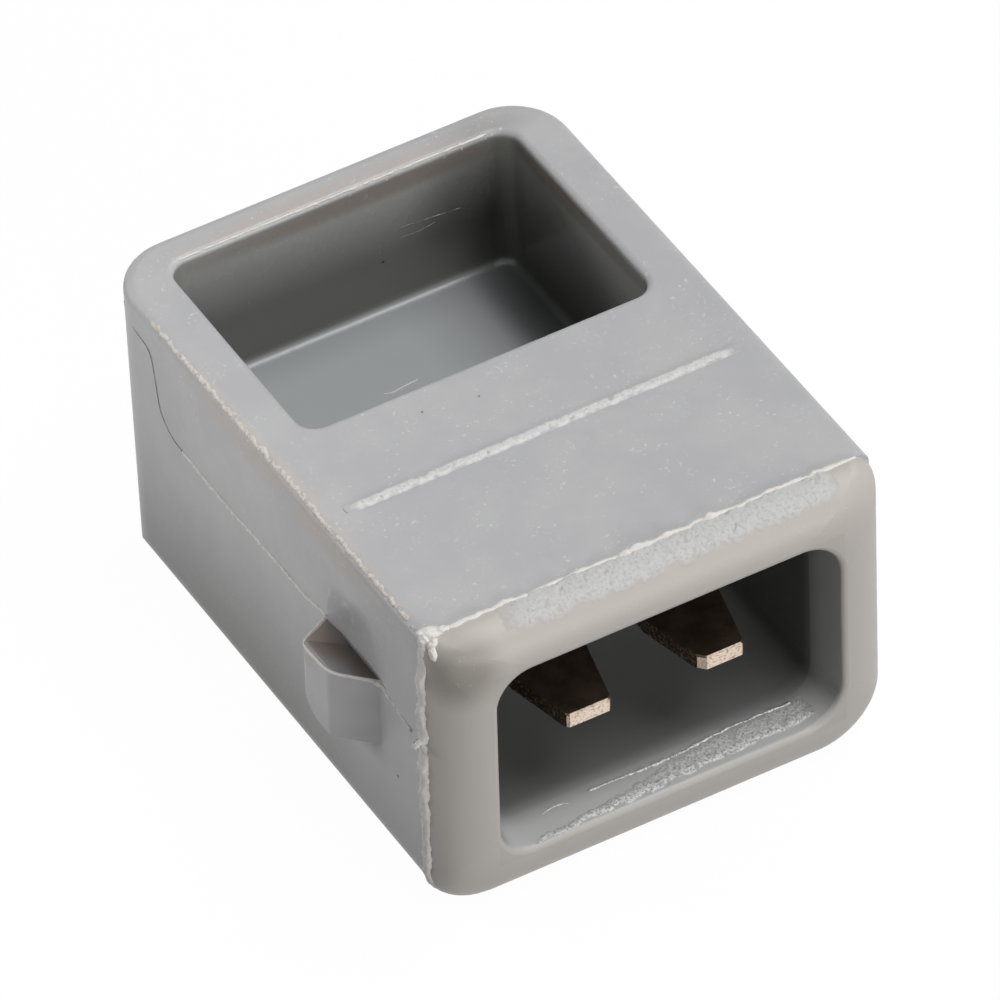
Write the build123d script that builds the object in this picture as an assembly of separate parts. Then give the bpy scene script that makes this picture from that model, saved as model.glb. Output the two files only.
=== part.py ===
from build123d import *
import math
import os

# Two-way tab connector: one grey moulding with two flat blades in its socket.
# Millimetres, +Z up, mouth towards -Y, X to the right seen from the mouth.
# The sizes below are measured from the parting plane behind the mouth rim,
# and the finished pieces are moved so that the origin is under the middle.

# Housing block
body_width = 16.8
body_height = 11.65
body_length = 21.05
side_draft = 0.4        # degrees, the block narrows towards its rear face
rear_lean = 2.75        # degrees, the rear face runs in towards the bottom
rear_corner = 2.15      # upright corners at the rear
top_edge = 0.4
bottom_edge = 0.76      # round the rear of the underside
left_bottom_edge = 1.36
right_bottom_edge = 2.4  # the larger corner is the key of the plug

# Rim round the mouth
rim_length = 1.55
rim_step = 0.03         # the rim stands proud of the block at the parting plane
rim_top_left = 0.5
rim_top_right = 0.85
mouth_rounding = 0.2

# Socket behind the mouth
side_wall = 1.97
top_wall = 1.7
floor_wall = 2.05
mouth_corner_left = 1.3
mouth_corner_right = 1.5
lead_in_length = 1.6
lead_in_sides = 0.3
lead_in_top_and_floor = 0.1
socket_depth = 9.2      # mouth to the web

# Blind pocket in the top
pocket_front = 10.37    # from the parting plane
pocket_side_wall = 1.75
pocket_rear_wall = 1.32
pocket_depth = 5.72
pocket_corner = 0.75
pocket_draft = 0.5      # degrees
pocket_floor_rounding = 0.35
pocket_rim_rounding = 0.22

# Low ridge across the top
ridge_place = 6.46      # from the parting plane
ridge_width = 0.32
ridge_height = 0.04
ridge_inset = 0.95

# Latch lugs on both sides
lug_reach = 1.2
lug_front = 2.8         # from the parting plane
lug_ramp = 1.2
lug_land = 1.75
lug_back_slope = 0.55
lug_top = 7.5
lug_height = 2.78
lug_heel = 1.0          # round at the rear of the underside
lug_shoulder = 0.4      # round between the ramp and the land
lug_nose = 0.3          # round between the land and the steep back
lug_root = 0.6          # how far a lug's stock runs into the side wall
scoop_depth = 0.8
scoop_rim = 0.14
scoop_bite = 0.3        # how far the scoop runs into the side wall
scoop_ramp_end = 0.85   # from the lug's front to the scoop's deepest line
scoop_back_end = 0.75

# Shallow dish in the side wall above each lug
dish_place = 4.3        # from the parting plane
dish_level = 7.9
dish_width = 3.9
dish_depth = 0.2

# Blades
blade_pitch = 5.0
blade_width = 2.8
blade_thickness = 0.6
blade_tip_width = 1.64
blade_taper = 2.6
blade_tip_corner = 0.08
right_blade_cut = 0.24   # the larger cut on the left corner of the right blade's tip
blade_tip_setback = 1.04  # from the mouth
tail_length = 2.0
notch_depth = 0.45
notch_length = 0.8
blade_edge = 0.06

# Sizes that follow from those above
half_width = body_width / 2
draft_slope = math.tan(math.radians(side_draft))
lean_slope = math.tan(math.radians(rear_lean))
socket_end = socket_depth - rim_length
blade_level = body_height / 2
tip_place = blade_tip_setback - rim_length


def side_at(y):
    """Half the width of the block at a distance behind the parting plane."""
    return half_width - y * draft_slope


def rear_at(z):
    """Where the leaning rear face lies at a height."""
    return body_length - (body_height - z) * lean_slope


def arc_wires(corners):
    """Lines and corner arcs round a closed outline of (x, y, radius) corners."""
    count = len(corners)
    starts = []
    ends = []
    mids = []
    for i in range(count):
        here = Vector(corners[i][0], corners[i][1])
        before = Vector(corners[i - 1][0], corners[i - 1][1])
        after = Vector(corners[(i + 1) % count][0], corners[(i + 1) % count][1])
        to_before = (before - here).normalized()
        to_after = (after - here).normalized()
        half_turn = math.radians(to_before.get_angle(to_after)) / 2
        radius = corners[i][2]
        reach = radius / math.tan(half_turn)
        starts.append(here + to_before * reach)
        ends.append(here + to_after * reach)
        middle = (to_before + to_after).normalized()
        mids.append(here + middle * (radius / math.sin(half_turn) - radius))
    edges = []
    for i in range(count):
        if corners[i][2] > 0:
            edges.append(Edge.make_three_point_arc(starts[i], mids[i], ends[i]))
        edges.append(Edge.make_line(ends[i], starts[(i + 1) % count]))
    return Wire(edges)


def flat_outline(corners, z):
    """A face from (x, y, radius) corners at a height."""
    return Pos(0, 0, z) * Face(arc_wires(corners))


def front_outline(left, right, low, high, radii, y):
    """A rounded rectangle facing the mouth, at a distance from the parting plane."""
    low_left, low_right, top_right, top_left = radii
    corners = [
        (left, low, low_left),
        (right, low, low_right),
        (right, high, top_right),
        (left, high, top_left),
    ]
    upright = Plane(origin=(0, y, 0), x_dir=(1, 0, 0), z_dir=(0, -1, 0))
    return upright.location * Face(arc_wires(corners))


def rear_cutter():
    """Takes the rear of the block down to its leaning face."""
    spare = 1.0
    side_view = [
        Vector(0, rear_at(-spare), -spare),
        Vector(0, rear_at(body_height + spare), body_height + spare),
        Vector(0, body_length + 3 * spare, body_height + spare),
        Vector(0, body_length + 3 * spare, -spare),
    ]
    return extrude(Face(Wire.make_polygon(side_view)), amount=body_width, both=True)


def long_corner_cutter(radius, side):
    """Takes the long bottom edge of one side down to a radius."""
    spare = 1.0
    hair = 0.002            # keeps the round just clear of the flat faces it runs into
    outer = half_width + hair
    wall_end = Vector(outer, radius)
    floor_end = Vector(outer - radius, -hair)
    to_middle = radius * (1 - math.sqrt(0.5))
    middle = Vector(outer - to_middle, to_middle - hair)
    outside = [floor_end, floor_end - Vector(0, spare), Vector(outer + spare, -hair - spare)]
    outside += [Vector(outer + spare, radius), wall_end]
    round_edge = Edge.make_three_point_arc(wall_end, middle, floor_end)
    section = Face(Wire([round_edge] + Wire.make_polygon(outside, close=False).edges()))
    upright = Plane(origin=(0, -spare, 0), x_dir=(1, 0, 0), z_dir=(0, -1, 0))
    bar = extrude(upright.location * section, amount=body_length + 3 * spare, dir=(0, 1, 0))
    turned = Pos(half_width, 0, 0) * Rot(0, 0, side_draft) * Pos(-half_width, 0, 0) * bar
    if side < 0:
        return mirror(turned, Plane.YZ)
    return turned


def build_block():
    """The drafted block behind the parting plane, with its outer edges rounded."""
    far = body_length + 1.0
    plan = [
        Vector(-side_at(0), 0),
        Vector(side_at(0), 0),
        Vector(side_at(far), far),
        Vector(-side_at(far), far),
    ]
    block = extrude(Face(Wire.make_polygon(plan)), amount=body_height, dir=(0, 0, 1))
    block -= rear_cutter()
    rear_face = block.faces().sort_by(Axis.Y)[-1]
    block = fillet(rear_face.edges().filter_by(Axis.X, reverse=True), rear_corner)
    front_and_ends = block.edges().filter_by_position(Axis.Y, -0.01, 0.01)
    top_chain = block.edges().group_by(Axis.Z)[-1] - front_and_ends
    block = fillet(top_chain, top_edge)
    front_and_ends = block.edges().filter_by_position(Axis.Y, -0.01, 0.01)
    low_chain = block.edges().group_by(Axis.Z)[0] - front_and_ends
    block = fillet(low_chain, bottom_edge)
    block -= long_corner_cutter(left_bottom_edge, -1)
    block -= long_corner_cutter(right_bottom_edge, 1)
    return block


def build_rim():
    """The pillow-shaped rim, from the parting plane to the mouth."""
    sections = []
    steps = 5
    for i in range(steps + 1):
        angle = math.radians(90 * i / steps)
        share = 1 - math.cos(angle)
        y = -rim_length * math.sin(angle)
        flat = mouth_rounding
        left = -half_width - rim_step + (side_wall - flat + rim_step) * share
        right = half_width + rim_step - (side_wall - flat + rim_step) * share
        low = (floor_wall - flat) * share
        high = body_height + rim_step - (top_wall - flat + rim_step) * share
        outer = (left_bottom_edge, right_bottom_edge, rim_top_right, rim_top_left)
        inner = (mouth_corner_left, mouth_corner_right, mouth_corner_right, mouth_corner_left)
        radii = [a + (b + flat - a) * share for a, b in zip(outer, inner)]
        sections.append(front_outline(left, right, low, high, radii, y))
    return loft(sections)


def socket_outline(grow, y):
    """The mouth's outline at a depth, grown outwards by an amount."""
    radii = (mouth_corner_left, mouth_corner_right, mouth_corner_right, mouth_corner_left)
    return front_outline(
        -half_width + side_wall - grow,
        half_width - side_wall + grow,
        floor_wall - grow,
        body_height - top_wall + grow,
        [r + grow for r in radii],
        y,
    )


def inner_socket_outline(y):
    """The socket behind its lead-in."""
    radii = (mouth_corner_left, mouth_corner_right, mouth_corner_right, mouth_corner_left)
    return front_outline(
        -half_width + side_wall + lead_in_sides,
        half_width - side_wall - lead_in_sides,
        floor_wall + lead_in_top_and_floor,
        body_height - top_wall - lead_in_top_and_floor,
        [r - lead_in_sides for r in radii],
        y,
    )


def build_socket():
    """The space inside the mouth: rounded edge, lead-in and straight socket."""
    sections = []
    steps = 2
    for i in range(steps + 1):
        angle = math.radians(90 * i / steps)
        grow = mouth_rounding * (1 - math.sin(angle))
        y = -rim_length + mouth_rounding * (1 - math.cos(angle))
        sections.append(socket_outline(grow, y))
    mouth = loft(sections)
    front_space = extrude(socket_outline(mouth_rounding, -rim_length), amount=1.0)
    lead_end = lead_in_length - rim_length
    lead_start = mouth_rounding - rim_length
    lead_in = loft([socket_outline(0, lead_start), inner_socket_outline(lead_end)], ruled=True)
    straight = extrude(inner_socket_outline(lead_end), amount=lead_end - socket_end)
    return [front_space, mouth, lead_in, straight]


def build_pocket():
    """The blind pocket, opening out by its draft, with rounded corners and floor."""
    closing = pocket_depth * math.tan(math.radians(pocket_draft))
    front = pocket_front + closing
    rear = body_length - pocket_rear_wall - closing
    front_side = side_at(front) - pocket_side_wall - closing
    rear_side = side_at(rear) - pocket_side_wall - closing
    corners = [
        Vector(-front_side, front),
        Vector(front_side, front),
        Vector(rear_side, rear),
        Vector(-rear_side, rear),
    ]
    floor = Pos(0, 0, body_height - pocket_depth) * Face(Wire.make_polygon(corners))
    space = extrude(floor, amount=pocket_depth + 0.5, taper=-pocket_draft)
    upright = space.edges().filter_by(lambda e: e.bounding_box().size.Z > pocket_depth)
    space = fillet(upright, pocket_corner)
    return fillet(space.edges().group_by(Axis.Z)[0], pocket_floor_rounding)


def build_ridge():
    """The low ridge where the mould's inserts met on the top face."""
    half_length = side_at(ridge_place) - ridge_inset
    corners = [
        (-half_length, ridge_place - ridge_width / 2, ridge_width / 3),
        (half_length, ridge_place - ridge_width / 2, ridge_width / 3),
        (half_length, ridge_place + ridge_width / 2, ridge_width / 3),
        (-half_length, ridge_place + ridge_width / 2, ridge_width / 3),
    ]
    root = 0.2
    return extrude(flat_outline(corners, body_height - root), amount=root + ridge_height)


def lug_points():
    """Plan of the left lug's free edge, from its front on the wall to its rear on the wall."""
    ramp_end = lug_front + lug_ramp
    land_end = ramp_end + lug_land
    back_end = land_end + lug_back_slope
    return [
        Vector(-side_at(lug_front), lug_front),
        Vector(-side_at(lug_front) - lug_reach, ramp_end),
        Vector(-side_at(land_end) - lug_reach, land_end),
        Vector(-side_at(back_end), back_end),
    ]


def build_scoop():
    """The hollow in a lug's top: slopes that run down to a line just inside the wall."""
    rim = [Vector(p.X + scoop_rim, p.Y, lug_top) for p in lug_points()]
    front, ramp_top, land_end, back = rim
    level = lug_top - scoop_depth
    near = Vector(front.X + scoop_bite, front.Y + scoop_ramp_end, level)
    far = Vector(back.X + scoop_bite, back.Y - scoop_back_end, level)
    triangles = [
        [front, ramp_top, near],
        [ramp_top, far, near],
        [ramp_top, land_end, far],
        [land_end, back, far],
        [back, near, far],
        [back, front, near],
    ]
    faces = [Face(Wire.make_polygon(points)) for points in [rim] + triangles]
    return Solid(Shell(faces))


def build_left_lug():
    """A latch lug: ramp, land and steep back, with rounded corners and a rounded heel."""
    front, ramp_top, land_end, back = lug_points()
    outline = [
        front + Vector(lug_root, 0),
        front,
        ramp_top,
        land_end,
        back,
        back + Vector(lug_root, 0),
    ]
    bottom = lug_top - lug_height
    plan = Face(Wire.make_polygon(outline))
    lug = extrude(Pos(0, 0, bottom) * plan, amount=lug_height, dir=(0, 0, 1))
    upright = lug.edges().filter_by(Axis.Z)
    lug = fillet(upright.sort_by_distance((ramp_top.X, ramp_top.Y, bottom))[0], lug_shoulder)
    upright = lug.edges().filter_by(Axis.Z)
    lug = fillet(upright.sort_by_distance((land_end.X, land_end.Y, bottom))[0], lug_nose)
    return lug - heel_cutter(land_end.Y, bottom)


def heel_cutter(land_end, bottom):
    """Rounds the rear of a lug's underside, from the land through to the wall."""
    far = land_end + 2 * lug_heel
    corner = lug_heel * (1 - math.sqrt(0.5))
    rear_end = Vector(0, far, bottom + lug_heel)
    start = Vector(0, land_end - lug_heel, bottom)
    middle = Vector(0, land_end - corner, bottom + corner)
    stop = Vector(0, land_end, bottom + lug_heel)
    low = Vector(0, land_end - lug_heel, bottom - lug_heel)
    round_edge = Edge.make_three_point_arc(start, middle, stop)
    rest = Wire.make_polygon([stop, rear_end, Vector(0, far, bottom - lug_heel), low, start], close=False)
    side_view = Face(Wire([round_edge] + rest.edges()))
    return extrude(side_view, amount=body_width, both=True)


def build_dish():
    """The shallow round dish in the left wall, cut above the lug only."""
    radius = (dish_width ** 2 / 4 + dish_depth ** 2) / (2 * dish_depth)
    outside = -side_at(dish_place) - radius + dish_depth
    ball = Pos(outside, dish_place, dish_level) * Sphere(radius)
    block = Box(4 * dish_depth, 2 * dish_width, dish_width, align=(Align.CENTER, Align.CENTER, Align.MIN))
    return ball & (Pos(-side_at(dish_place), dish_place, lug_top) * block)


def build_blade(x, left_cut):
    """A flat tab: tapered tip, cut corners, and a tail with notches that the moulding fills."""
    half = blade_width / 2
    tip_half = blade_tip_width / 2
    full_at = tip_place + blade_taper
    notch_start = socket_end + (tail_length - notch_length) / 2
    notch_end = notch_start + notch_length
    tail_end = socket_end + tail_length
    tail = [
        (half, full_at),
        (half, notch_start),
        (half - notch_depth, notch_start),
        (half - notch_depth, notch_end),
        (half, notch_end),
        (half, tail_end),
    ]
    right_tip = [(tip_half - blade_tip_corner, tip_place), (tip_half, tip_place + blade_tip_corner)]
    left_tip = [(-tip_half, tip_place + left_cut), (left_cut - tip_half, tip_place)]
    left_tail = [(-px, py) for px, py in reversed(tail)]
    outline = [Vector(x + px, py) for px, py in right_tip + tail + left_tail + left_tip]
    low = blade_level - blade_thickness / 2
    plan = Pos(0, 0, low) * Face(Wire.make_polygon(outline))
    blade = extrude(plan, amount=blade_thickness, dir=(0, 0, 1))
    tip_edges = blade.edges().filter_by(lambda e: is_tip_edge(e, left_cut))
    return chamfer(tip_edges, blade_edge)


def is_tip_edge(edge, left_cut):
    """True for an upper or lower edge of a blade's end face and of its cut corners."""
    level = edge.bounding_box().size.Z < blade_edge
    return level and edge.center().Y < tip_place + left_cut


def build_housing(blades):
    """The whole moulding, with the blades' slots cut to their own shape."""
    housing = build_block() + build_rim() + build_ridge()
    left_lug = build_left_lug()
    scoop = build_scoop()
    dish = build_dish()
    housing += left_lug
    housing += mirror(left_lug, Plane.YZ)
    housing -= scoop
    housing -= mirror(scoop, Plane.YZ)
    housing -= dish
    housing -= mirror(dish, Plane.YZ)
    for space in build_socket():
        housing -= space
    housing -= build_pocket()
    rim_level = [e for e in housing.edges() if is_pocket_rim(e)]
    housing = fillet(rim_level, pocket_rim_rounding)
    for blade in blades:
        housing -= blade
    return housing


def is_pocket_rim(edge):
    """True for an edge of the pocket's opening in the top face."""
    box = edge.bounding_box()
    level = abs(box.min.Z - body_height) < 0.001 and abs(box.max.Z - body_height) < 0.001
    inside = abs(box.center().X) < side_at(body_length) - pocket_side_wall / 2
    behind = box.min.Y > pocket_front - 0.1 and box.max.Y < body_length - pocket_rear_wall + 0.1
    return level and inside and behind


def main():
    blade_left = build_blade(-blade_pitch / 2, blade_tip_corner)
    blade_right = build_blade(blade_pitch / 2, right_blade_cut)
    housing = build_housing([blade_left, blade_right])
    pieces = {"housing": housing, "blade_left": blade_left, "blade_right": blade_right}
    middle = housing.bounding_box().center().Y
    os.makedirs("parts", exist_ok=True)
    for name, piece in pieces.items():
        placed = Pos(0, -middle, 0) * piece
        export_step(placed, "parts/" + name + ".step")
        print(name, round(piece.volume, 2), "mm3", piece.bounding_box().size)


main()
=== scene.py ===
import math
import bmesh
import bpy
from mathutils import Matrix, Vector, noise


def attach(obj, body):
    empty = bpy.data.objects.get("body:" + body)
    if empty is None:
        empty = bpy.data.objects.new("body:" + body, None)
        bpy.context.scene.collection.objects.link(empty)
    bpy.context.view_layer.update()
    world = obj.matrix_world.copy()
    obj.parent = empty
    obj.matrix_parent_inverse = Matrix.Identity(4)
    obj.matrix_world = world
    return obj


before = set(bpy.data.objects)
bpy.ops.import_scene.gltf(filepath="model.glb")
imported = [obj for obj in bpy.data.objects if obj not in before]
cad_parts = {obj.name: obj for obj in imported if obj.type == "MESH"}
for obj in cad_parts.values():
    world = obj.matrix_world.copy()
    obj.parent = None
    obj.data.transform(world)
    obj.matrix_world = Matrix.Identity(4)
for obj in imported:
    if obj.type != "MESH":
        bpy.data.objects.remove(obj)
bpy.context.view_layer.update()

mm = 0.001
partingPlane = -9.741   # mm, the plane behind the rim where the mould halves met
housing = bpy.data.objects["housing"]


def linear(hexColour):
    # sRGB hex to the linear values that Blender's sockets take
    parts = [int(hexColour[i:i + 2], 16) / 255 for i in (1, 3, 5)]
    return [c / 12.92 if c <= 0.04045 else ((c + 0.055) / 1.055) ** 2.4 for c in parts] + [1.0]


def scaled(values):
    # mm to the scene's metres
    return [value * mm for value in values]


def deselectAll():
    if bpy.context.object and bpy.context.object.mode != "OBJECT":
        bpy.ops.object.mode_set(mode="OBJECT")
    bpy.ops.object.select_all(action="DESELECT")


# Camera: the photograph's own view, solved from the part's edges
cameraSetup = {
    "lens": 677.87,
    "sensor": 36.0,
    "place": (-219.983, -392.629, 425.281),     # mm
    "right": (0.861764, -0.506827, -0.022123),
    "up": (0.359641, 0.579581, 0.731262),
    "back": (-0.357802, -0.638131, 0.681738),
}


def makeCamera():
    data = bpy.data.cameras.new("photoCamera")
    data.lens = cameraSetup["lens"]
    data.sensor_width = cameraSetup["sensor"]
    camera = bpy.data.objects.new("photoCamera", data)
    axes = [cameraSetup[axis] for axis in ("right", "up", "back")] + [scaled(cameraSetup["place"])]
    camera.matrix_world = Matrix([[axis[i] for axis in axes] for i in range(3)] + [[0, 0, 0, 1]])
    bpy.context.collection.objects.link(camera)
    bpy.context.scene.camera = camera


# Lamps: azimuth from +X towards the rear and elevation above the floor in degrees, distance and size in
# metres. At a share of 1, a white card facing the lamp looks pure white.
lamps = {
    "keyRight": {"azimuth": 0, "elevation": 61, "distance": 0.6, "size": (0.34, 0.28), "share": 0.52},
    "nearLeft": {"azimuth": 168, "elevation": 25, "distance": 0.0275, "size": (0.012, 0.006), "share": 0.17},
    "lowRearLeft": {"azimuth": 122, "elevation": 14, "distance": 0.6, "size": (0.26, 0.12), "share": 0.18},
    "lowFront": {"azimuth": 274, "elevation": 14, "distance": 0.6, "size": (0.42, 0.14), "share": 0.50},
    "highFront": {"azimuth": 303, "elevation": 66, "distance": 0.6, "size": (0.24, 0.24), "share": 0.29},
}
lampAim = 5     # mm above the floor, where every lamp points


def makeLamps():
    for name, values in lamps.items():
        data = bpy.data.lights.new(name, "AREA")
        data.shape = "RECTANGLE"
        data.size, data.size_y = values["size"]
        data.energy = math.pi * math.pi * values["distance"] ** 2 * values["share"]
        lamp = bpy.data.objects.new(name, data)
        azimuth = math.radians(values["azimuth"])
        elevation = math.radians(values["elevation"])
        level = math.cos(elevation)
        towards = Vector((math.cos(azimuth) * level, math.sin(azimuth) * level, math.sin(elevation)))
        lamp.location = towards * values["distance"] + Vector((0, 0, lampAim * mm))
        lamp.rotation_euler = towards.to_track_quat("Z", "Y").to_euler()
        bpy.context.collection.objects.link(lamp)


# Shader nodes
def addNode(tree, kind, settings=None, inputs=None, output=0):
    # one node with its settings, and its inputs as values or as other nodes' outputs
    node = tree.nodes.new("ShaderNode" + kind)
    for key, value in (settings or {}).items():
        setattr(node, key, value)
    for key, value in (inputs or {}).items():
        if isinstance(value, bpy.types.NodeSocket):
            tree.links.new(value, node.inputs[key])
        else:
            node.inputs[key].default_value = value
    return node.outputs[output] if node.outputs else node


def newMaterial(name):
    material = bpy.data.materials.new(name)
    material.use_nodes = True
    material.node_tree.nodes.clear()
    return material, material.node_tree


def placeInMm(tree):
    # the piece's own coordinates in mm, so that every pattern has a real size
    coords = addNode(tree, "TexCoord", output="Object")
    return addNode(tree, "VectorMath", {"operation": "SCALE"}, {0: coords, "Scale": 1 / mm})


def axisOf(tree, vector, axis):
    return addNode(tree, "SeparateXYZ", None, {0: vector}, axis)


def vectorSum(tree, operation, first, second):
    return addNode(tree, "VectorMath", {"operation": operation}, {0: first, 1: second})


def numberSum(tree, operation, first, second):
    return addNode(tree, "Math", {"operation": operation}, {0: first, 1: second})


def noiseOver(tree, place, scale, detail, roughness):
    inputs = {"Vector": place, "Scale": scale, "Detail": detail, "Roughness": roughness}
    return addNode(tree, "TexNoise", None, inputs)


def fade(tree, value, start, end, least=0.0, most=1.0):
    # a soft course from the least at the start to the most at the end
    inputs = {"Value": value, "From Min": start, "From Max": end, "To Min": least, "To Max": most}
    return addNode(tree, "MapRange", {"interpolation_type": "SMOOTHSTEP"}, inputs)


def spread(tree, share, least, most):
    # a straight course from the least at 0 to the most at 1
    return addNode(tree, "MapRange", None, {"Value": share, "To Min": least, "To Max": most})


def blend(tree, share, first, second):
    # two colours, each a hex value or another node's output
    first, second = [linear(c) if isinstance(c, str) else c for c in (first, second)]
    return addNode(tree, "Mix", {"data_type": "RGBA"}, {0: share, 6: first, 7: second}, 2)


def bumpOf(tree, height, depth):
    # relief of a depth in mm
    return addNode(tree, "Bump", None, {"Strength": 1.0, "Distance": depth * mm, "Height": height})


# Room: pale floor, white to the camera and in reflections, with the part's soft shadow
room = {
    "floorColour": "#9A9A9A",
    "floorGlow": 0.92,      # how much of the floor's white the camera sees whatever falls on it
    "floorWhite": 1.06,
    "floorSize": 4.0,       # m
    "floorDrop": 0.03,      # mm, keeps the floor clear of the part's flat underside
    "fill": 0.03,           # light from the rest of the room
}


def seenWhite(tree):
    # 1 for the camera's own rays and for reflections, 0 for the light that falls on the part
    tree.nodes.clear()
    total = addNode(tree, "LightPath", output="Is Camera Ray")
    for ray in ("Is Transmission Ray", "Is Glossy Ray"):
        total = numberSum(tree, "MAXIMUM", total, addNode(tree, "LightPath", output=ray))
    return total


def makeRoom():
    world = bpy.data.worlds.new("room")
    bpy.context.scene.world = world
    world.use_nodes = True
    tree = world.node_tree
    strength = spread(tree, seenWhite(tree), room["fill"], 1.0)
    sky = addNode(tree, "Background", None, {"Color": (1, 1, 1, 1), "Strength": strength})
    addNode(tree, "OutputWorld", None, {"Surface": sky})

    deselectAll()
    bpy.ops.mesh.primitive_grid_add(
        x_subdivisions=8, y_subdivisions=8, size=room["floorSize"], location=(0, 0, -room["floorDrop"] * mm))
    floor = bpy.context.object
    floor.name = "studioFloor"
    material, tree = newMaterial("paintedBoard")
    glow = numberSum(tree, "MULTIPLY", seenWhite(tree), room["floorGlow"])
    paint = addNode(tree, "BsdfDiffuse", None, {"Color": linear(room["floorColour"])})
    white = addNode(tree, "Emission", None, {"Color": (1, 1, 1, 1), "Strength": room["floorWhite"]})
    both = addNode(tree, "MixShader", None, {0: glow, 1: paint, 2: white})
    addNode(tree, "OutputMaterial", None, {"Surface": both})
    floor.data.materials.append(material)


# Moulded plastic
plastic = {
    "body": "#B4B4B6",
    "bodyPale": "#BABABB",
    "rim": "#B8B3AD",           # warmer in front of the parting plane
    "speck": "#D3D4D3",
    "roughness": 0.45,
    "mottle": 2.6,              # mm, size of the faint clouds in the colour
    "speckSize": 0.16,          # mm
    "speckGroups": 0.75,        # loose groups of flecks per mm
    "grain": 0.09,              # mm, the mould's fine texture
    "grainDepth": 0.003,        # mm
    "rubLength": 0.9,           # mm, faint rub marks along the top
    "rubsAcross": 9.0,          # rub marks per mm
    "waves": 0.9,               # per mm, the slight unevenness of a moulded wall
    "waveHeight": 4.0,          # times the grain's
}

# Faces made by polished core inserts are glossier; their darker colours are painted shade in the pocket and the
# socket: middle and half size in mm
coreGlossAndPaintedShade = [
    # the pocket: painted shade, walls darker than the floor
    {"at": (0, 5.32, 8.6), "half": (6.85, 4.85, 2.95), "soft": 0.25,
     "wall": "#7F7F7B", "floor": "#A8ABAD", "roughness": 0.24},
    # the socket's mouth: walls darkened as painted shade, floor paler
    {"at": (0, -6.6, 6.0), "half": (6.6, 4.75, 4.2), "soft": 0.3,
     "wall": "#979896", "floor": "#C6C7C6", "roughness": 0.4},
    # deep in the socket: painted shade, darkest on the walls
    {"at": (0, -6.1, 6.0), "half": (7.5, 4.4, 5.4), "soft": 1.5,
     "wall": "#4C4D4B", "floor": "#7E807E", "roughness": 0.38},
]

# Tints, spots and painted shade: middle and reach in mm, and for some the size of the patches that break them up
marks = [
    {"at": (-7.6, -10.8, 10.6), "reach": (1.9, 1.5, 1.8), "colour": "#87827B", "strength": 0.8},
    {"at": (-8.35, -1.0, 11.0), "reach": (0.4, 9.6, 0.8), "colour": "#B6AA9E", "strength": 0.5, "patches": 2.0},
    {"at": (-8.15, -1.4, 11.55), "reach": (0.4, 9.8, 0.35), "colour": "#C6BDB4", "strength": 0.6, "patches": 0.8},
    {"at": (-8.9, -4.2, 7.2), "reach": (1.0, 1.5, 0.9), "colour": "#A39184", "strength": 0.8},
    {"at": (-8.1, -5.6, 6.9), "reach": (0.9, 1.6, 0.8), "colour": "#94887E", "strength": 0.7},
    # painted shade on the wall above the lug's scoop
    {"at": (-8.35, -4.9, 8.6), "reach": (0.3, 1.9, 1.3), "colour": "#8C8D8E", "strength": 0.55, "patches": 0.35},
    # painted shade: the left wall darker towards its foot
    {"at": (-8.7, 0.0, -2.5), "reach": (1.5, 18.0, 11.0), "colour": "#858482", "strength": 0.7},
    {"at": (-8.5, 3.0, -1.0), "reach": (1.2, 10.0, 7.0), "colour": "#6E6D6B", "strength": 0.5},
    {"at": (1.5, 9.95, 11.1), "reach": (9.5, 0.4, 0.6), "colour": "#756A61", "strength": 0.65},
    {"at": (6.55, 5.5, 11.1), "reach": (0.35, 7.0, 0.55), "colour": "#6C6159", "strength": 0.65},
    # painted shade on the pocket's right wall and at the right end of its rear wall
    {"at": (6.0, 6.6, 7.4), "reach": (2.1, 6.6, 4.2), "colour": "#383937", "strength": 0.7},
    {"at": (5.5, 10.2, 9.2), "reach": (3.6, 1.6, 3.6), "colour": "#3C3D3B", "strength": 0.6},
    {"at": (0.0, 10.35, 11.65), "reach": (8.0, 0.5, 0.12), "colour": "#BBB0A6", "strength": 0.5, "patches": 0.8},
    {"at": (-2.92, -0.52, 11.65), "reach": (0.07, 0.08, 0.1), "colour": "#5E5E5C", "strength": 0.8},
    {"at": (-0.97, -0.84, 11.65), "reach": (0.06, 0.07, 0.1), "colour": "#5E5E5C", "strength": 0.8},
    {"at": (-8.29, 6.05, 7.33), "reach": (0.1, 0.13, 0.09), "colour": "#4E4C49", "strength": 1.0},
    {"at": (-8.32, 1.40, 7.42), "reach": (0.1, 0.17, 0.08), "colour": "#4E4C49", "strength": 1.0},
    {"at": (-8.35, -2.95, 7.61), "reach": (0.1, 0.16, 0.09), "colour": "#4E4C49", "strength": 1.0},
    {"at": (-8.39, -7.97, 4.15), "reach": (0.1, 0.1, 0.1), "colour": "#4E4C49", "strength": 1.0},
    {"at": (1.6, 9.96, 7.95), "reach": (0.08, 0.1, 0.08), "colour": "#2E2E2C", "strength": 1.0},
]


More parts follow.
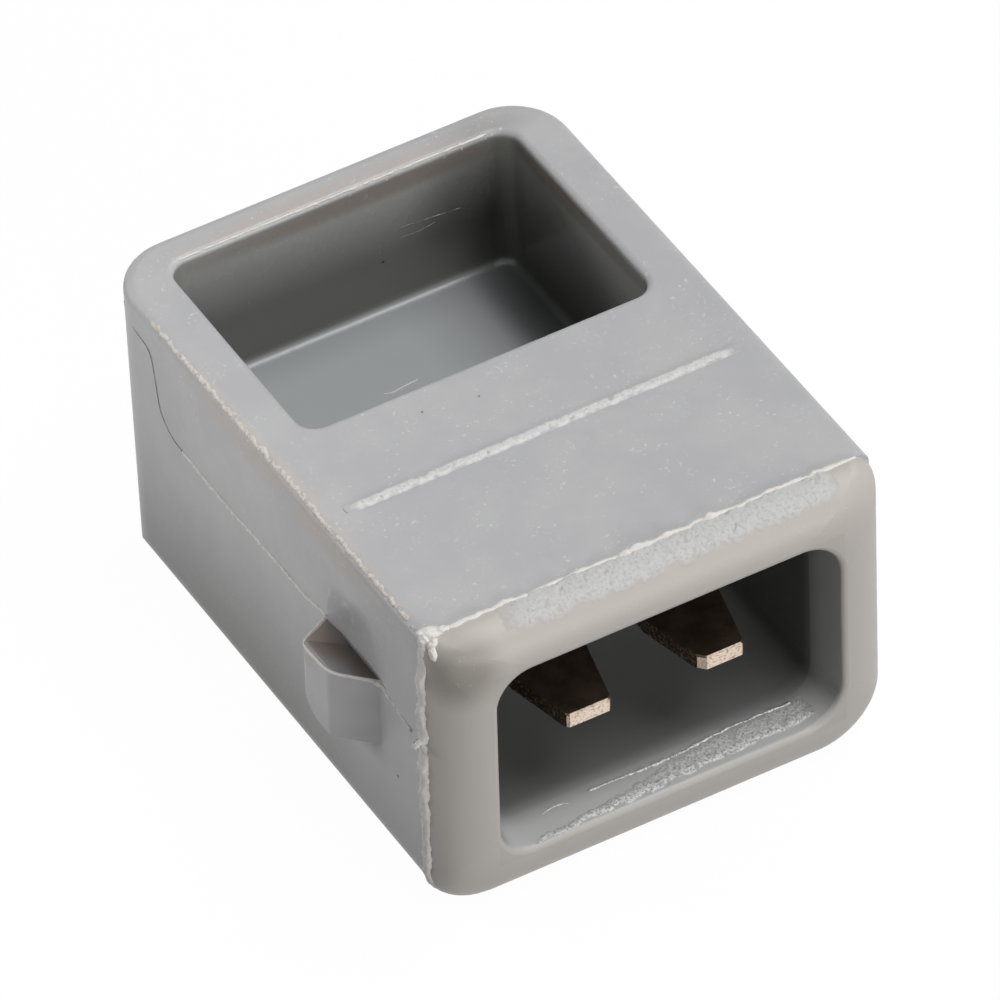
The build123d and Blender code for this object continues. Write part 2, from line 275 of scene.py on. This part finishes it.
def makePlastic():
    # Grey PBT, injection moulded: satin and faintly mottled, with pale flecks and rub marks, warmer at the rim,
    # and with painted shade in the pocket, in the socket and low on the left wall
    material, tree = newMaterial("mouldedGreyPbt")
    place = placeInMm(tree)
    height = axisOf(tree, place, "Z")
    along = axisOf(tree, place, "Y")
    facing = axisOf(tree, addNode(tree, "TexCoord", output="Normal"), "Z")

    cloud = noiseOver(tree, place, 1 / plastic["mottle"], 5.0, 0.6)
    colour = blend(tree, fade(tree, cloud, 0.36, 0.66), plastic["body"], plastic["bodyPale"])
    warm = fade(tree, along, partingPlane + 0.04, partingPlane - 0.1)
    colour = blend(tree, warm, colour, plastic["rim"])
    shine = plastic["roughness"]
    outside = 1.0

    # painted shade: walls darker than floors, the pocket dark and the socket darkest deep in; only the roughness
    # belongs to the polished inserts
    for core in coreGlossAndPaintedShade:
        gap = vectorSum(tree, "SUBTRACT", place, core["at"])
        gap = addNode(tree, "VectorMath", {"operation": "ABSOLUTE"}, {0: gap})
        gap = vectorSum(tree, "SUBTRACT", gap, core["half"])
        most = axisOf(tree, gap, "X")
        for axis in ("Y", "Z"):
            most = numberSum(tree, "MAXIMUM", most, axisOf(tree, gap, axis))
        inside = fade(tree, most, 0.0, -core["soft"])
        level = fade(tree, facing, 0.3, 0.9)
        colour = blend(tree, inside, colour, blend(tree, level, core["wall"], core["floor"]))
        shine = addNode(tree, "Mix", None, {0: inside, 2: shine, 3: core["roughness"]})
        outside = addNode(tree, "Math", {"operation": "SUBTRACT", "use_clamp": True}, {0: outside, 1: inside})

    for mark in marks:
        gap = vectorSum(tree, "SUBTRACT", place, mark["at"])
        gap = vectorSum(tree, "DIVIDE", gap, mark["reach"])
        gap = addNode(tree, "VectorMath", {"operation": "LENGTH"}, {0: gap}, "Value")
        inside = fade(tree, gap, 1.0, 0.3, most=mark["strength"])
        if "patches" in mark:
            patch = noiseOver(tree, place, 1 / mark["patches"], 4.0, 0.6)
            inside = numberSum(tree, "MULTIPLY", inside, fade(tree, patch, 0.3, 0.5))
        colour = blend(tree, inside, colour, mark["colour"])

    # flecks lie in loose groups on the outside, most of them on the top and few on the rim
    speck = noiseOver(tree, place, 1 / plastic["speckSize"], 2.0, 0.7)
    speck = fade(tree, speck, 0.6, 0.72, most=0.85)
    group = fade(tree, noiseOver(tree, place, plastic["speckGroups"], 3.0, 0.6), 0.42, 0.62)
    group = numberSum(tree, "MULTIPLY", group, outside)
    group = numberSum(tree, "MULTIPLY", group, spread(tree, warm, 1.0, 0.3))
    upper = fade(tree, height, 8.0, 11.5, least=0.25)
    speck = numberSum(tree, "MULTIPLY", speck, numberSum(tree, "MULTIPLY", group, upper))
    colour = blend(tree, speck, colour, plastic["speck"])

    # rub marks: short stretched flecks
    rubScale = (1 / plastic["rubLength"], plastic["rubsAcross"], plastic["rubsAcross"])
    rubPlace = addNode(tree, "Mapping", None, {"Vector": place, "Rotation": (0, 0, 0.5), "Scale": rubScale})
    rub = fade(tree, noiseOver(tree, rubPlace, 1.0, 2.0, 0.5), 0.66, 0.8, most=0.35)
    colour = blend(tree, numberSum(tree, "MULTIPLY", rub, group), colour, plastic["speck"])

    grain = noiseOver(tree, place, 1 / plastic["grain"], 3.0, 0.6)
    relief = numberSum(tree, "ADD", grain, speck)
    wave = noiseOver(tree, place, plastic["waves"], 2.0, 0.5)
    inputs = {0: wave, 1: plastic["waveHeight"], 2: relief}
    relief = addNode(tree, "Math", {"operation": "MULTIPLY_ADD"}, inputs)
    bump = bumpOf(tree, relief, plastic["grainDepth"])
    shine = numberSum(tree, "ADD", shine, spread(tree, wave, -0.03, 0.04))
    shader = addNode(tree, "BsdfPrincipled", None, {
        "Base Color": colour, "Roughness": shine, "IOR": 1.5, "Specular IOR Level": 0.4, "Normal": bump})
    addNode(tree, "OutputMaterial", None, {"Surface": shader})
    return material


# Torn and worn plastic, and one dark kind that is painted shade: the colours of its skin, of its pits and of the
# sound plastic around, the grain in mm, and how much of the grain counts as pits
roughPlastics = {
    "tornFlashPbt": {
        "pale": "#DDDAD5", "deep": "#C2BEB8", "around": "#BDB8B2", "grain": 0.3, "pits": 0.35, "roughness": 0.6},
    "sparkWornPbt": {
        "pale": "#C6C6C5", "deep": "#AFAEAC", "around": "#B8B3AD", "grain": 0.12, "pits": 0.42, "roughness": 0.7},
    "socketWornPbt": {
        "pale": "#F2F2F2", "deep": "#959594", "around": "#A6A7A6", "grain": 0.085, "pits": 0.46, "roughness": 0.7},
    "crumblyPbt": {
        "pale": "#DAD6D0", "deep": "#B5ACA4", "around": "#B9B5B0", "grain": 0.15, "pits": 0.45, "roughness": 0.7},
    "ridgePbt": {
        "pale": "#DADAD9", "deep": "#BEBDBC", "around": "#B7B8B8", "grain": 0.12, "pits": 0.42, "roughness": 0.65},
    # dark: painted shade for the side seam, and the colour of the pocket wall's scratches
    "darkSeamPbt": {
        "pale": "#9A9894", "deep": "#777572", "around": "#9A9894", "grain": 0.2, "pits": 0.5, "roughness": 0.6},
}
pitDepth = 0.015    # mm


def makeRoughPlastic(name):
    # PBT with a torn or spark-worn skin: dull, whitish and full of pits, fading into the sound plastic; the dark
    # kind is painted shade
    values = roughPlastics[name]
    material, tree = newMaterial(name)
    pits = noiseOver(tree, placeInMm(tree), 1 / values["grain"], 5.0, 0.7)
    high = fade(tree, pits, values["pits"] - 0.12, values["pits"] + 0.12)
    colour = blend(tree, high, values["deep"], values["pale"])
    wear = addNode(tree, "Attribute", {"attribute_name": "wear"}, output="Fac")
    colour = blend(tree, fade(tree, wear, 0.2, 0.95), values["around"], colour)
    bump = bumpOf(tree, pits, pitDepth)
    shader = addNode(tree, "BsdfPrincipled", None, {
        "Base Color": colour, "Roughness": values["roughness"], "IOR": 1.5, "Specular IOR Level": 0.35,
        "Normal": bump})
    addNode(tree, "OutputMaterial", None, {"Surface": shader})
    return material


blade = {
    "top": "#776556",
    "topDark": "#5C4D41",
    "edge": "#4A3C30",
    "edgeBare": "#B39C82",
    "tip": "#DACABB",
    "pit": "#A08973",
    "grain": 0.11,          # mm, grains of the sheared tip
    "grainDepth": 0.008,    # mm
    "tarnish": 0.9,         # mm, clouds of the tarnish
    "roughness": 0.45,
    "tipRoughness": 0.6,
}


def makeBladeMetal():
    # Brass: dark brown tarnish on the rolled faces, bare bright grainy metal on the sheared tip
    material, tree = newMaterial("tarnishedBrass")
    place = placeInMm(tree)
    normal = addNode(tree, "TexCoord", output="Normal")
    forward = axisOf(tree, normal, "Y")
    upward = addNode(tree, "Math", {"operation": "ABSOLUTE"}, {0: axisOf(tree, normal, "Z")})

    grain = noiseOver(tree, place, 1 / blade["grain"], 4.0, 0.7)
    clouds = noiseOver(tree, place, 1 / blade["tarnish"], 4.0, 0.6)
    flat = blend(tree, fade(tree, clouds, 0.35, 0.65), blade["topDark"], blade["top"])
    edge = blend(tree, fade(tree, grain, 0.5, 0.68), blade["edge"], blade["edgeBare"])
    tip = blend(tree, fade(tree, grain, 0.34, 0.5), blade["pit"], blade["tip"])
    colour = blend(tree, fade(tree, upward, 0.5, 0.9), edge, flat)
    bare = fade(tree, forward, -0.55, -0.85)
    colour = blend(tree, bare, colour, tip)
    bump = bumpOf(tree, grain, blade["grainDepth"])
    shine = spread(tree, bare, blade["roughness"], blade["tipRoughness"])
    shader = addNode(tree, "BsdfPrincipled", None, {
        "Base Color": colour, "Metallic": 0.85, "Roughness": shine, "Normal": bump})
    addNode(tree, "OutputMaterial", None, {"Surface": shader})
    return material


# Modelling
def weigh(piece, name, weightAt):
    # a vertex group painted by place, in mm
    group = piece.vertex_groups.new(name=name)
    for vertex in piece.data.vertices:
        group.add([vertex.index], min(1.0, max(0.0, weightAt(vertex.co / mm))), "REPLACE")


def everywhere(place):
    return 1.0


def push(piece, group, depth, grain=None, middle=0.0, direction="NORMAL"):
    # moves the weighted surface by a depth in mm, evenly or with a cloudy grain
    change = piece.modifiers.new("push", "DISPLACE")
    change.vertex_group = group
    change.strength = depth * mm
    change.mid_level = middle
    change.direction = direction
    if grain:
        cloud = bpy.data.textures.new(piece.name + "Grain", "CLOUDS")
        cloud.noise_scale = grain * mm
        cloud.noise_depth = 3
        change.texture = cloud
        change.texture_coords = "LOCAL"
    bpy.ops.object.modifier_apply(modifier=change.name)


def thicken(piece, depth):
    wall = piece.modifiers.new("wall", "SOLIDIFY")
    wall.thickness = depth * mm
    wall.offset = -1.0
    bpy.ops.object.modifier_apply(modifier=wall.name)


def finishPiece(piece, material):
    # keeps the cover's weights as the wear that the rough materials read
    bpy.ops.object.transform_apply(location=True, rotation=True, scale=True)
    cover = piece.vertex_groups.get("cover")
    worn = [cover.weight(vertex.index) if cover else 1.0 for vertex in piece.data.vertices]
    piece.vertex_groups.clear()
    piece.data.attributes.new("wear", "FLOAT", "POINT")
    piece.data.attributes["wear"].data.foreach_set("value", worn)
    piece.data.materials.clear()
    piece.data.materials.append(material)
    bpy.ops.object.shade_smooth()
    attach(piece, "root")


def between(points, place):
    # straight runs between (place, value) pairs
    for (a, first), (b, second) in zip(points, points[1:]):
        if a <= place <= b:
            return first + (second - first) * (place - a) / (b - a)
    return points[0][1] if place < points[0][0] else points[-1][1]


def ramp(value, start, end):
    # a soft course from 0 at the start to 1 at the end
    share = min(1.0, max(0.0, (value - start) / (end - start)))
    return share * share * (3 - 2 * share)


# Flash: the ragged lip that the mould's parting line left round the rim, in mm
flash = {
    "halfWidth": 8.40,
    "bottom": 0.03,
    "top": 11.65,
    "corners": [((-8.4, 11.65), 0.5), ((8.4, 11.65), 0.85), ((-8.4, 0.03), 1.36), ((8.4, 0.03), 2.4)],
    "cornerSteps": 14,
    "cuts": {"left": 220, "top": 340, "rest": 60},
    "behind": 0.05,         # where the band starts, behind the parting plane
    "step": 0.05,           # one row of the band, towards the mouth
    "steps": 8,
    "narrowing": (0.999, 1, 0.9985),    # of each row, to follow the rim's swell
    "highest": 0.5,
    "leftWidth": 0.34,
    "topWidth": 0.1,
    "rightWidth": 0.12,
    "wander": (0.2, 0.5),   # depth and size of the line's wandering
    "tears": (0.4, 0.14),   # depth and size of the tears
    "thickness": 0.25,
    "left": [       # height of the place, how far the lip stands out
        (0.2, 0.0), (0.8, 0.06), (1.5, 0.09), (2.25, 0.14), (2.8, 0.08), (3.4, 0.08), (3.9, 0.12),
        (4.4, 0.11), (5.0, 0.2), (5.45, 0.1), (6.0, 0.19), (6.4, 0.14), (6.7, 0.05), (6.85, 0.08),
        (7.1, 0.16), (7.25, 0.45), (7.38, 0.18), (7.6, 0.1), (8.15, 0.15), (8.65, 0.17), (9.0, 0.06),
        (9.6, 0.12), (10.05, 0.2), (10.3, 0.1), (10.75, 0.03), (11.3, 0.06)],
    "over": [       # place along the top, how far the lip stands out
        (-8.2, 0.1), (-7.1, 0.07), (-6.5, 0.09), (-5.7, 0.05), (-5.4, 0.1), (-4.8, 0.06), (-3.2, 0.05),
        (-1.5, 0.06), (-0.6, 0.1), (-0.2, 0.22), (0.1, 0.15), (0.36, 0.06), (0.74, 0.13), (1.3, 0.06),
        (1.86, 0.08), (2.24, 0.2), (2.62, 0.16), (2.9, 0.07), (3.9, 0.05), (4.6, 0.07), (5.4, 0.1),
        (6.0, 0.06), (6.5, 0.09), (7.3, 0.08), (7.8, 0.04), (8.4, 0.01)],
}


def flashWeight(place):
    # how far the lip stands out, as a share of the highest it can
    deep = partingPlane - place.y
    wave = noise.noise(place * 2.3)
    fine = noise.noise(place * 7.0)
    if place.z > 11.3 and place.x > -8.2:
        reach = between(flash["over"], place.x) * (1 + 0.9 * fine) + 0.02
        width = flash["topWidth"] * (1 + 0.5 * wave)
    elif place.x < 0 and place.z > 0.3:
        reach = between(flash["left"], place.z) * (1 + 0.35 * fine) + 0.05
        width = flash["leftWidth"] * (1 + 0.35 * wave + 0.2 * fine)
    elif place.x > 8.0 and place.z > 2.5:
        reach = 0.04 + 0.015 * wave
        width = flash["rightWidth"]
    else:
        return 0.0
    return reach * (1 - ramp(deep, 0.45 * width, width)) / flash["highest"]


def pickEdges(piece, test):
    # in edit mode, selects the long edges whose both ends pass
    longEdge = 2
    bpy.ops.mesh.select_mode(type="EDGE")
    bpy.ops.mesh.select_all(action="DESELECT")
    shape = bmesh.from_edit_mesh(piece.data)
    for edge in shape.edges:
        a, b = [vertex.co / mm for vertex in edge.verts]
        edge.select_set((a - b).length > longEdge and test(a) and test(b))
    bmesh.update_edit_mesh(piece.data)


def makePartingFlash(material):
    deselectAll()
    middle = (flash["top"] + flash["bottom"]) / 2
    start = partingPlane + flash["behind"]
    bpy.ops.mesh.primitive_plane_add(
        size=1.0, location=(0, start * mm, middle * mm), rotation=(math.pi / 2, 0, 0))
    piece = bpy.context.object
    piece.name = "partingFlash"
    piece.scale = (2 * flash["halfWidth"] * mm, (flash["top"] - flash["bottom"]) * mm, 1)
    bpy.ops.object.transform_apply(location=True, rotation=True, scale=True)
    bpy.ops.object.mode_set(mode="EDIT")
    bpy.ops.mesh.select_mode(type="VERT")
    for (x, z), radius in flash["corners"]:
        bpy.ops.mesh.select_all(action="DESELECT")
        shape = bmesh.from_edit_mesh(piece.data)
        shape.verts.ensure_lookup_table()
        nearest = min(shape.verts, key=lambda v: (v.co / mm - Vector((x, start, z))).length)
        nearest.select_set(True)
        bmesh.update_edit_mesh(piece.data)
        bpy.ops.mesh.bevel(
            offset=radius * mm, offset_type="OFFSET", segments=flash["cornerSteps"], affect="VERTICES")
    bpy.ops.mesh.select_all(action="SELECT")
    bpy.ops.mesh.delete(type="ONLY_FACE")
    pickEdges(piece, lambda place: place.x < -8)
    bpy.ops.mesh.subdivide(number_cuts=flash["cuts"]["left"])
    pickEdges(piece, lambda place: place.z > 11)
    bpy.ops.mesh.subdivide(number_cuts=flash["cuts"]["top"])
    pickEdges(piece, lambda place: True)
    bpy.ops.mesh.subdivide(number_cuts=flash["cuts"]["rest"])
    bpy.ops.mesh.select_all(action="SELECT")
    for i in range(flash["steps"]):
        bpy.ops.mesh.extrude_edges_move(TRANSFORM_OT_translate={"value": (0, -flash["step"] * mm, 0)})
        bpy.ops.transform.resize(value=flash["narrowing"], center_override=(0, 0, middle * mm))
    bpy.ops.mesh.select_all(action="SELECT")
    bpy.ops.mesh.normals_make_consistent(inside=False)
    bpy.ops.object.mode_set(mode="OBJECT")
    weigh(piece, "reach", flashWeight)
    weigh(piece, "whole", lambda place: 1.0 if place.z > 1 else 0.0)
    push(piece, "whole", *flash["wander"], 0.5, "Y")
    push(piece, "reach", flash["highest"])
    push(piece, "reach", *flash["tears"], 0.5)
    thicken(piece, flash["thickness"])
    finishPiece(piece, material)


# Lump: flash torn and folded over at the rim's top left corner, in mm
lump = {
    "blobs": [
        {"at": (-7.95, -9.7, 11.7), "size": (0.5, 0.22, 0.17), "lean": (0.2, 0.2, -0.15)},
        {"at": (-8.25, -9.78, 11.5), "size": (0.2, 0.2, 0.32), "lean": (0.0, -0.3, 0.0)},
        {"at": (-8.08, -10.0, 11.5), "size": (0.26, 0.17, 0.22), "lean": (0.5, 0.0, 0.3)},
        {"at": (-8.2, -10.22, 11.32), "size": (0.16, 0.26, 0.17), "lean": (0.7, 0.0, 0.0)},
        {"at": (-7.55, -9.76, 11.72), "size": (0.26, 0.13, 0.12), "lean": (0.0, 0.3, 0.0)},
    ],
    "voxel": 0.022,
    "uneven": [(0.13, 0.34), (0.05, 0.13)],     # depth and size of its bumps
}


def makeCornerLump(material):
    deselectAll()
    parts = []
    for blob in lump["blobs"]:
        bpy.ops.mesh.primitive_ico_sphere_add(
            subdivisions=4, radius=1.0, location=scaled(blob["at"]), rotation=blob["lean"])
        part = bpy.context.object
        part.scale = scaled(blob["size"])
        parts.append(part)
    for part in parts:
        part.select_set(True)
    bpy.ops.object.transform_apply(location=True, rotation=True, scale=True)
    bpy.ops.object.join()
    piece = bpy.context.object
    piece.name = "tornCornerLump"
    melt = piece.modifiers.new("melt", "REMESH")
    melt.mode = "VOXEL"
    melt.voxel_size = lump["voxel"] * mm
    bpy.ops.object.modifier_apply(modifier=melt.name)
    weigh(piece, "whole", everywhere)
    for depth, grain in lump["uneven"]:
        push(piece, "whole", depth, grain, 0.5)
    finishPiece(piece, material)


# Rough skins that lie on the moulding: the grid's middle and size in mm and its turn in degrees, how
# high and rough it lies, and how it fades at its ends and sides and breaks up in between, as shares
skins = {
    "rimSparkSkin": {
        "at": (0.3, -10.62, 11.7), "size": (13.8, 1.6), "turn": (35, 0, 0), "spacing": 0.04,
        "lift": 0.055, "rough": 0.04, "grain": 0.12,
        "ends": (0.16, 0.06), "sides": (0.1, 0.45), "lower": 0.06, "strokes": 0.13, "taper": (1.0, 1.0),
        "middle": 1.0, "holes": (-1.1, -0.2), "finish": "sparkWornPbt"},
    "ridgeSkin": {
        "at": (0.0, -3.28, 12.0), "size": (15.3, 0.7), "turn": (0, 0, 0), "spacing": 0.04,
        "lift": 0.05, "rough": 0.04, "grain": 0.12,
        "ends": (0.06, 0.07), "sides": (0.4, 0.4), "lower": 0.04, "strokes": 0.12, "taper": (0.95, 0.95),
        "middle": 1.0, "holes": (-0.9, -0.3), "finish": "ridgePbt"},
    "wornEdgeSkin": {
        "at": (-8.35, 0.0, 11.72), "size": (19.0, 0.38), "turn": (-42, 0, 90), "spacing": 0.036,
        "lift": 0.052, "rough": 0.07, "grain": 0.09,
        "ends": (0.03, 0.12), "sides": (0.4, 0.4), "lower": 0.05, "strokes": 0.3, "taper": (0.95, 0.95),
        "middle": 1.0, "holes": (-0.8, -0.1), "finish": "crumblyPbt"},
    "socketFloorSkin": {
        "at": (0.25, -10.5, 3.2), "size": (11.4, 1.45), "turn": (8, 0, 2.0), "spacing": 0.042,
        "lift": 0.05, "rough": 0.045, "grain": 0.11,
        "ends": (0.05, 0.05), "sides": (0.45, 0.14), "lower": 0.0, "strokes": 0.08, "taper": (0.42, 1.0),
        "middle": 0.65, "holes": (-0.9, -0.2), "finish": "socketWornPbt"},
}
skinSunk = 0.02         # mm that a skin's faded places lie below the moulding's surface
skinThickness = 0.12    # mm


def skinCover(values, place):
    # how much of a skin is there at a place of its grid: 0 where the moulding is sound
    length, width = values["size"]
    along = place.x / length + 0.5
    across = place.y / width + 0.5
    stroke = noise.noise(Vector((place.x * 3.6, place.y * 0.7, 1.7)))
    stroke += 0.5 * noise.noise(Vector((place.x * 1.1, 0.4, 3.1)))
    lower = values["lower"] + values["strokes"] * stroke
    first, last = values["taper"]
    upper = first + (last - first) * ramp(along, 0, 0.75) + 0.1 * stroke
    edges = ramp(along, 0, values["ends"][0]) * ramp(along, 1, 1 - values["ends"][1])
    edges *= ramp(across, lower, lower + values["sides"][1]) * ramp(across, upper, upper - values["sides"][0])
    edges *= 1 - (1 - values["middle"]) * ramp(across, 0.2, 0.34)
    patch = noise.noise(Vector((place.x * 2.2, place.y * 3.0, 4.2))) + 0.6 * noise.noise(place * 6.0)
    return edges * ramp(patch, *values["holes"])


def makeSkin(name, materials):
    values = skins[name]
    deselectAll()
    length, width = values["size"]
    bpy.ops.mesh.primitive_grid_add(
        x_subdivisions=int(length / values["spacing"]), y_subdivisions=int(width / values["spacing"]),
        size=1.0, location=scaled(values["at"]), rotation=[math.radians(c) for c in values["turn"]])
    piece = bpy.context.object
    piece.name = name
    piece.scale = (length * mm, width * mm, mm)
    bpy.ops.object.transform_apply(location=False, rotation=False, scale=True)
    weigh(piece, "cover", lambda place: skinCover(values, place))
    lay = piece.modifiers.new("lay", "SHRINKWRAP")
    lay.target = housing
    lay.wrap_method = "PROJECT"
    lay.use_negative_direction = True
    lay.use_positive_direction = False
    lay.use_project_z = True
    bpy.ops.object.modifier_apply(modifier=lay.name)
    weigh(piece, "whole", everywhere)
    push(piece, "whole", -skinSunk)
    push(piece, "cover", values["lift"])
    push(piece, "cover", values["rough"], values["grain"], 0.5)
    thicken(piece, skinThickness)
    finishPiece(piece, materials[values["finish"]])


# Fine lines: seams, scratches, the lug's feathered edge, painted shade in the side seam and a painted highlight on
# the pocket's rim, as points in mm
fineLines = {
    # a dark tube along the side seam's rear part: painted shade of the seam's groove
    "sideSeamPaintedShade": {
        "points": [
            (-8.12, 9.9, 10.95), (-8.2, 9.5, 10.6), (-8.27, 8.97, 10.42), (-8.28, 8.2, 10.36),
            (-8.28, 7.9, 10.1), (-8.28, 7.74, 9.4), (-8.28, 7.6, 8.7), (-8.28, 7.45, 8.05),
            (-8.28, 6.97, 7.58), (-8.29, 6.32, 7.36), (-8.29, 5.9, 7.4)],
        "radius": 0.024, "broken": 0.0, "finish": "darkSeamPbt"},
    "sideSeamPale": {
        "points": [
            (-8.29, 6.0, 7.38), (-8.3, 4.85, 7.34), (-8.31, 3.53, 7.33), (-8.31, 2.47, 7.32),
            (-8.32, 1.4, 7.40), (-8.33, 0.22, 7.43), (-8.34, -0.77, 7.47), (-8.34, -1.75, 7.42),
            (-8.35, -2.94, 7.58), (-8.35, -3.5, 7.68)],
        "radius": 0.055, "broken": 0.14, "finish": "tornFlashPbt"},
    "frontSeamPale": {
        "points": [
            (-8.40, -6.9, 7.45), (-8.39, -7.3, 7.36), (-8.39, -7.74, 7.27), (-8.39, -8.3, 7.14),
            (-8.4, -9.0, 7.02)],
        "radius": 0.04, "broken": 0.12, "finish": "tornFlashPbt"},
    "lugEdge": {
        "points": [
            (-8.42, -3.5, 7.6), (-8.8, -3.66, 7.5), (-9.2, -3.8, 7.47), (-9.5, -3.98, 7.44),
            (-9.58, -4.3, 7.45), (-9.58, -4.9, 7.48), (-9.56, -5.5, 7.5), (-9.4, -5.85, 7.5),
            (-9.1, -6.18, 7.5), (-8.7, -6.6, 7.5), (-8.5, -6.8, 7.48), (-8.4, -6.98, 7.35)],
        "radius": 0.055, "broken": 0.03, "finish": "tornFlashPbt"},
    "socketFloorLine": {
        "points": [
            (-2.5, -9.97, 2.11), (-1.1, -10.0, 2.11), (0.2, -10.06, 2.11), (1.4, -9.99, 2.11),
            (2.7, -9.83, 2.12), (4.1, -9.86, 2.12), (5.2, -9.9, 2.15)],
        "radius": 0.04, "broken": 0.16, "finish": "socketWornPbt"},
    "socketScribble": {
        "points": [
            (-4.3, -10.12, 2.1), (-4.1, -10.05, 2.11), (-3.75, -10.0, 2.11), (-3.4, -10.05, 2.11),
            (-3.2, -10.16, 2.1)],
        "radius": 0.03, "broken": 0.06, "finish": "socketWornPbt"},
    # a pale broken tube along the pocket's rear rim: painted highlight on the rim's rounding
    "pocketRimHighlight": {
        "points": [
            (-6.1, 10.07, 11.6), (-4.0, 10.07, 11.6), (-2.0, 10.07, 11.6), (0.0, 10.07, 11.6),
            (2.0, 10.07, 11.6), (4.0, 10.07, 11.6), (5.7, 10.06, 11.6)],
        "radius": 0.035, "broken": 0.14, "finish": "tornFlashPbt"},
    "pocketArcMark": {
        "points": [(-0.55, 6.32, 5.92), (-0.25, 6.2, 5.93), (0.2, 6.3, 5.93), (0.75, 6.33, 5.93)],
        "radius": 0.025, "broken": 0.01, "finish": "tornFlashPbt"},
    "pocketWallScratch": {
        "points": [
            (2.2, 9.98, 9.14), (2.9, 9.98, 9.08), (3.5, 9.98, 9.03), (4.1, 9.98, 8.97), (4.6, 9.98, 8.92)],
        "radius": 0.022, "broken": 0.06, "finish": "darkSeamPbt"},
    "pocketWallScratchLow": {
        "points": [(2.3, 9.98, 8.7), (2.7, 9.98, 8.66), (3.2, 9.98, 8.66), (3.6, 9.98, 8.75)],
        "radius": 0.025, "broken": 0.04, "finish": "darkSeamPbt"},
}
lineGrain = 0.15        # mm, size of the gaps and bumps in a broken line
mergeDistance = 0.0005  # mm, joins a line's caps to its wall


def makeFineLine(name, materials):
    values = fineLines[name]
    deselectAll()
    bpy.ops.curve.primitive_nurbs_path_add(location=(0, 0, 0))
    piece = bpy.context.object
    piece.name = name
    path = piece.data
    line = path.splines[0]
    points = values["points"]
    line.points.add(max(0, len(points) - len(line.points)))
    spare = len(line.points) - len(points)
    for i, point in enumerate(line.points):
        point.co = scaled(points[max(0, i - spare)]) + [1.0]
    line.order_u = 3
    line.use_endpoint_u = True
    line.resolution_u = 12
    path.bevel_depth = values["radius"] * mm
    path.bevel_resolution = 3
    path.use_fill_caps = True
    bpy.ops.object.convert(target="MESH")
    bpy.ops.object.mode_set(mode="EDIT")
    bpy.ops.mesh.select_all(action="SELECT")
    bpy.ops.mesh.remove_doubles(threshold=mergeDistance * mm)
    bpy.ops.mesh.normals_make_consistent(inside=False)
    bpy.ops.object.mode_set(mode="OBJECT")
    if values["broken"]:
        weigh(piece, "whole", everywhere)
        push(piece, "whole", values["broken"], lineGrain, 0.5)
    finishPiece(piece, materials[values["finish"]])


makeCamera()
bpy.context.scene.view_settings.view_transform = "Standard"
makeRoom()
makeLamps()
print("camera, room and lamps are set")

greyPlastic = makePlastic()
bladeMetal = makeBladeMetal()
for name in ("housing", "blade_left", "blade_right"):
    for slot in bpy.data.objects[name].material_slots:
        slot.material = greyPlastic if name == "housing" else bladeMetal
roughMaterials = {name: makeRoughPlastic(name) for name in roughPlastics}
print("materials are on")

makePartingFlash(roughMaterials["tornFlashPbt"])
makeCornerLump(roughMaterials["tornFlashPbt"])
print("parting flash and torn lump are made")
for name in skins:
    makeSkin(name, roughMaterials)
for name in fineLines:
    makeFineLine(name, roughMaterials)
print("rough skins and fine lines are made")
